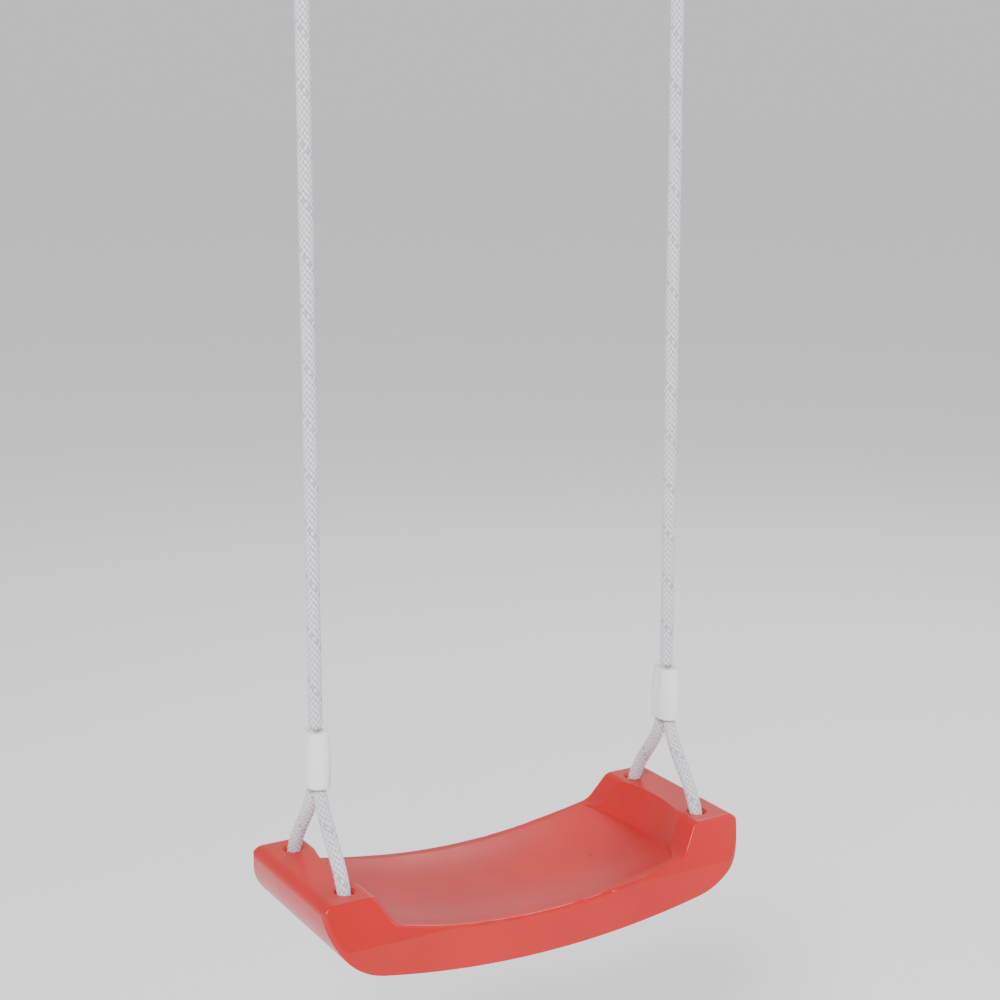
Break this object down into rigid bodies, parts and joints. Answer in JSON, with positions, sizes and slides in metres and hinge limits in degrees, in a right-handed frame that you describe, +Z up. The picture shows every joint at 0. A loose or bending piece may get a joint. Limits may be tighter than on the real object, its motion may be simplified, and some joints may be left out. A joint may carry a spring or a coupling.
{
  "type": "board swing",
  "caption": "Moulded plastic board swing with a dished seat, V-shaped rope bridles, ferrules, adjustable hanging ropes and steel rings.",
  "frame": {"origin": "half way between the two points where a hook bears on the inside of the hanging rings", "axes": "+Z up, +X along the seat towards its right end, +Y to the back of the seat"},
  "size_m": [0.4098, 0.17, 1.033],
  "materials": {
    "seat_plastic": "semi-gloss moulded polypropylene, fine matt grain on the sitting surface",
    "rope": "braided white polypropylene",
    "ferrule_plastic": "smooth moulded white plastic",
    "hardware_plastic": "moulded red plastic",
    "steel": "bright zinc plated, welded ring"
  },
  "bodies": {
    "hanging_rings": {"left_hanging_ring": "steel", "right_hanging_ring": "steel"},
    "thimbles": {"left_thimble": "hardware_plastic", "right_thimble": "hardware_plastic"},
    "left_line": {"left_main_rope": "rope", "left_slider": "hardware_plastic", "left_tail_knot": "rope"},
    "right_line": {"right_main_rope": "rope", "right_slider": "hardware_plastic", "right_tail_knot": "rope"},
    "ferrules": {"left_ferrule": "ferrule_plastic", "right_ferrule": "ferrule_plastic"},
    "seat": {"seat_shell": "seat_plastic", "left_bridle_rope": "rope", "right_bridle_rope": "rope"}
  },
  "joints": [
    {"name": "swing", "type": "hinge", "parent": "hanging_rings", "child": "thimbles", "pos_m": [0, 0, -0.025], "axis": [1, 0, 0], "range_deg": [-60, 60]},
    {"name": "left_sway", "type": "hinge", "parent": "thimbles", "child": "left_line", "pos_m": [-0.176, 0, -0.0597], "axis": [0, 1, 0], "range_deg": [-12, 12]},
    {"name": "right_sway", "type": "hinge", "parent": "thimbles", "child": "right_line", "pos_m": [0.176, 0, -0.0597], "axis": [0, 1, 0], "range_deg": [-12, 12]},
    {"name": "ferrule_level", "type": "hinge", "parent": "left_line", "child": "ferrules", "pos_m": [-0.176, 0, -0.823], "axis": [0, 1, 0], "range_deg": [-12, 12]},
    {"name": "seat_pitch", "type": "hinge", "parent": "ferrules", "child": "seat", "pos_m": [0, 0, -0.871], "axis": [1, 0, 0], "range_deg": [-15, 15]}
  ],
  "couplings": [
    {"joint": "right_sway", "follows": "left_sway", "ratio": 1},
    {"joint": "ferrule_level", "follows": "left_sway", "ratio": -1}
  ]
}
